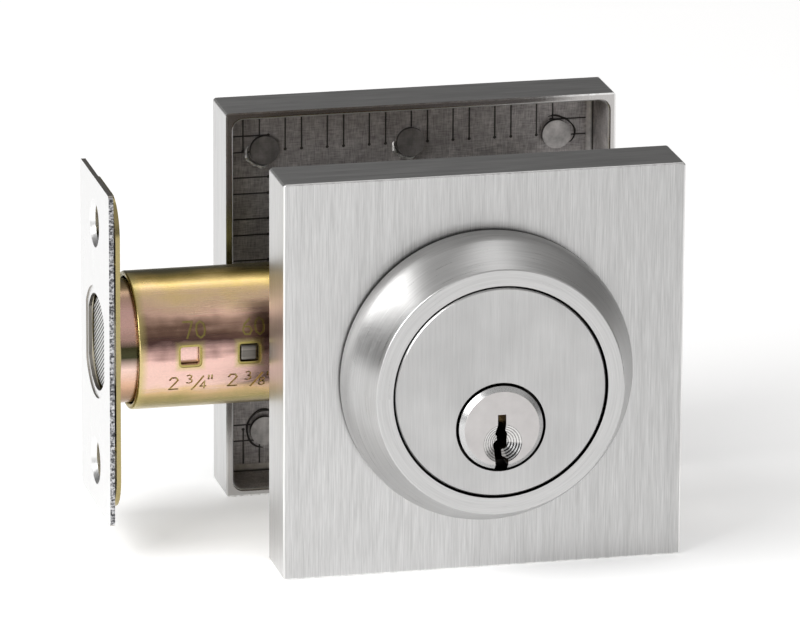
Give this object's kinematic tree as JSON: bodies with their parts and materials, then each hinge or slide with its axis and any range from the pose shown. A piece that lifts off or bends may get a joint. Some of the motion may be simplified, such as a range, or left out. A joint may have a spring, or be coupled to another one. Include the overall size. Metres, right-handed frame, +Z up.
{
  "type": "deadbolt door lock",
  "caption": "Keyed deadbolt with square roses, a round guard ring, an inside thumbturn and an adjustable tubular latch.",
  "frame": {"origin": "on the door's outside face, at the middle of the two roses, 0.6 mm below the latch's axis", "axes": "+Y through the door from the key side to the room, -X out of the door's edge along the bolt's throw, +Z up"},
  "size_m": [0.094, 0.0897, 0.068],
  "materials": {
    "satin_nickel": "satin, fine straight grain",
    "satin_ring": "satin, spun grain",
    "satin_face": "satin, fine straight grain",
    "plug_nickel": "fine satin nickel plate",
    "brass": "machined",
    "faceplate_steel": "satin nickel plate",
    "thumbturn_nickel": "satin",
    "yellow_zinc": "yellow zinc chromate",
    "bolt_steel": "satin nickel plate",
    "spring_steel": "bright",
    "hard_steel": "ground",
    "plain_steel": "zinc plated",
    "screw_steel": "zinc plated",
    "nylon": "moulded"
  },
  "bodies": {
    "lock_body": {"exterior_rose": "satin_nickel", "ring_spring_washer": "spring_steel", "cylinder_housing": "satin_face", "cylinder_core": "brass", "pin_chamber_cap": "plain_steel", "driver_pins": "brass", "pin_springs": "spring_steel", "post_plate": "yellow_zinc", "plate_screws": "screw_steel", "outer_tube": "yellow_zinc", "latch_case": "yellow_zinc", "case_rivets": "hard_steel", "interior_rose": "satin_nickel", "mounting_plate": "yellow_zinc", "mounting_bolts": "screw_steel", "rose_set_screw": "screw_steel", "thumbturn_bushing": "nylon", "thumbturn_washer": "plain_steel"},
    "guard_ring": {"guard_ring": "satin_ring"},
    "key_plug": {"key_plug": "plug_nickel", "key_pins": "brass", "plug_clip": "spring_steel"},
    "spindle": {"thumbturn": "thumbturn_nickel", "thumbturn_circlip": "spring_steel", "tailpiece": "plain_steel", "hub_crank": "plain_steel"},
    "drive_slide": {"drive_slide": "plain_steel", "drive_pin": "hard_steel", "slide_pawl": "spring_steel"},
    "front_end": {"faceplate": "faceplate_steel", "backplate": "yellow_zinc", "front_sleeve": "yellow_zinc", "detent_spring": "spring_steel", "detent_rivet": "hard_steel"},
    "bolt": {"bolt": "bolt_steel", "bolt_tail": "plain_steel", "bolt_tail_rivet": "hard_steel", "bolt_armour_pin": "hard_steel"}
  },
  "joints": [
    {"name": "thumbturn_turn", "type": "hinge", "parent": "lock_body", "child": "spindle", "pos_m": [0, 0.05, -0.00595], "axis": [0, -1, 0], "range_deg": [0, 90]},
    {"name": "key_plug_turn", "type": "hinge", "parent": "lock_body", "child": "key_plug", "pos_m": [0, -0.02, -0.00595], "axis": [0, -1, 0], "range_deg": [0, 90]},
    {"name": "slide_travel", "type": "slide", "parent": "lock_body", "child": "drive_slide", "axis": [-1, 0, 0], "range_m": [0, 0.0254]},
    {"name": "backset_adjust", "type": "slide", "parent": "lock_body", "child": "front_end", "axis": [-1, 0, 0], "range_m": [0, 0.01], "deforming": ["detent_spring", "slide_pawl"]},
    {"name": "bolt_throw", "type": "slide", "parent": "front_end", "child": "bolt", "axis": [-1, 0, 0], "range_m": [0, 0.0254]},
    {"name": "guard_ring_spin", "type": "hinge", "parent": "lock_body", "child": "guard_ring", "pos_m": [0, -0.017, 0], "axis": [0, -1, 0], "continuous": true}
  ],
  "couplings": [
    {"joint": "key_plug_turn", "follows": "thumbturn_turn", "ratio": 1},
    {"joint": "slide_travel", "follows": "thumbturn_turn", "m_per_rad": 0.01617},
    {"joint": "bolt_throw", "follows": "thumbturn_turn", "m_per_rad": 0.01617}
  ]
}
